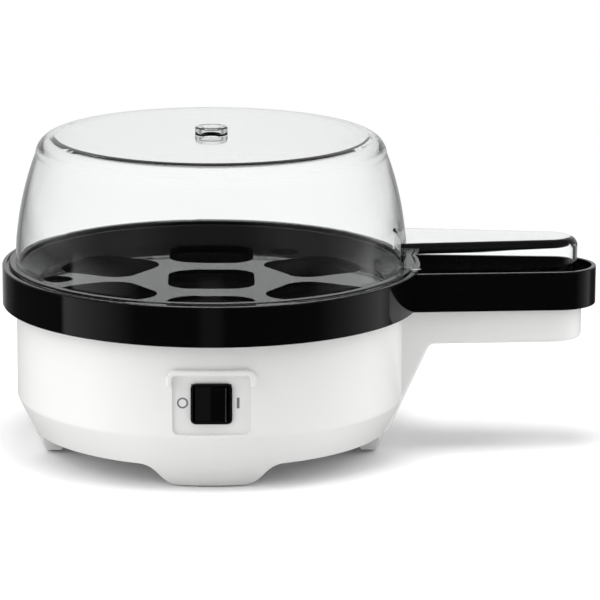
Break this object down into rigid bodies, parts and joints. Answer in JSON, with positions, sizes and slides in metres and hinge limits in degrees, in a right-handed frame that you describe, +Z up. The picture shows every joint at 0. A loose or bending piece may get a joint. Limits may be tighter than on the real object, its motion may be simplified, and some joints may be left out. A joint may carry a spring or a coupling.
{
  "type": "electric egg cooker",
  "caption": "Round electric egg cooker: white housing on feet, black egg rack with handle, clear domed lid, rocker switch.",
  "frame": {"origin": "centre of the whole object's footprint box, on the surface that the feet stand on", "axes": "+Z up, +X towards the end of the handle, -Y towards the switch; the round body's axis is at x = -0.0445"},
  "size_m": [0.299, 0.21, 0.1633],
  "materials": {
    "white_shell": "glossy moulded white",
    "black_plastic": "glossy moulded black",
    "clear_plastic": "clear moulded plastic",
    "pad_rubber": "soft pale rubber",
    "screw_steel": "zinc plated",
    "dish_coating": "dark non-stick coating on pressed sheet",
    "silicone": "silicone",
    "element_sheath": "drawn tube",
    "shield_sheet": "pressed sheet",
    "brass": "plain",
    "black_nylon": "moulded nylon",
    "ceramic_white": "moulded insulator",
    "copper_winding": "enamelled wire",
    "yoke_steel": "zinc plated sheet",
    "lead_brown": "silicone insulated wire",
    "lead_blue": "silicone insulated wire",
    "lead_green": "silicone insulated wire",
    "lead_white": "silicone insulated wire"
  },
  "bodies": {
    "base": {"housing": "white_shell", "housing_handle": "white_shell", "foot_pads": "pad_rubber", "handle_cover": "white_shell", "handle_cover_screws": "screw_steel", "base_cover": "white_shell", "cover_screws": "screw_steel", "heating_dish": "dish_coating", "dish_seal": "silicone", "heating_element": "element_sheath", "element_pins": "screw_steel", "dish_studs": "screw_steel", "stud_nuts": "screw_steel", "heat_shield": "shield_sheet", "earth_tab": "brass", "earth_screw": "brass", "thermostat": "ceramic_white", "thermostat_bracket": "yoke_steel", "thermal_fuse": "ceramic_white", "switch_housing": "black_nylon", "switch_terminals": "brass", "terminal_block": "ceramic_white", "terminal_screws": "screw_steel", "block_screws": "screw_steel", "cord_gland": "black_nylon", "buzzer_yoke": "yoke_steel", "buzzer_coil": "copper_winding", "live_lead": "lead_brown", "switched_lead": "lead_brown", "element_lead": "lead_white", "neutral_lead": "lead_blue", "fuse_lead": "lead_blue", "earth_lead": "lead_green", "buzzer_leads": "lead_white"},
    "egg_rack": {"egg_rack_plate_1": "black_plastic", "egg_rack_plate_2": "black_plastic", "egg_rack_plate_3": "black_plastic", "egg_rack_plate_4": "black_plastic", "egg_rack_plate_5": "black_plastic", "egg_rack_plate_6": "black_plastic", "egg_rack_rim": "black_plastic", "egg_rack_trough": "black_plastic"},
    "lid": {"lid": "clear_plastic"},
    "rocker": {"rocker_button": "black_plastic", "rocker_spring": "screw_steel", "rocker_plunger": "brass"},
    "contact_lever": {"contact_lever": "brass"},
    "armature": {"buzzer_armature": "yoke_steel"}
  },
  "joints": [
    {"name": "rack_lift", "type": "slide", "parent": "base", "child": "egg_rack", "axis": [0, 0, 1], "range_m": [0, 0.12]},
    {"name": "lid_lift", "type": "slide", "parent": "egg_rack", "child": "lid", "axis": [0, 0, 1], "range_m": [0, 0.12]},
    {"name": "rocker_tilt", "type": "hinge", "parent": "base", "child": "rocker", "pos_m": [-0.0445, -0.0925, 0.0447], "axis": [0, 0, 1], "range_deg": [0, 13]},
    {"name": "lever_tilt", "type": "hinge", "parent": "base", "child": "contact_lever", "pos_m": [-0.0445, -0.082, 0.0447], "axis": [0, 0, 1], "range_deg": [-12, 0]},
    {"name": "armature_pull", "type": "hinge", "parent": "base", "child": "armature", "pos_m": [0.0132, -0.024, 0.03195], "axis": [0, -1, 0], "range_deg": [0, 1.8], "stiffness_Nm_per_rad": 0.05, "springref_deg": -1.15}
  ],
  "couplings": [
    {"joint": "lever_tilt", "follows": "rocker_tilt", "ratio": -0.92308}
  ]
}
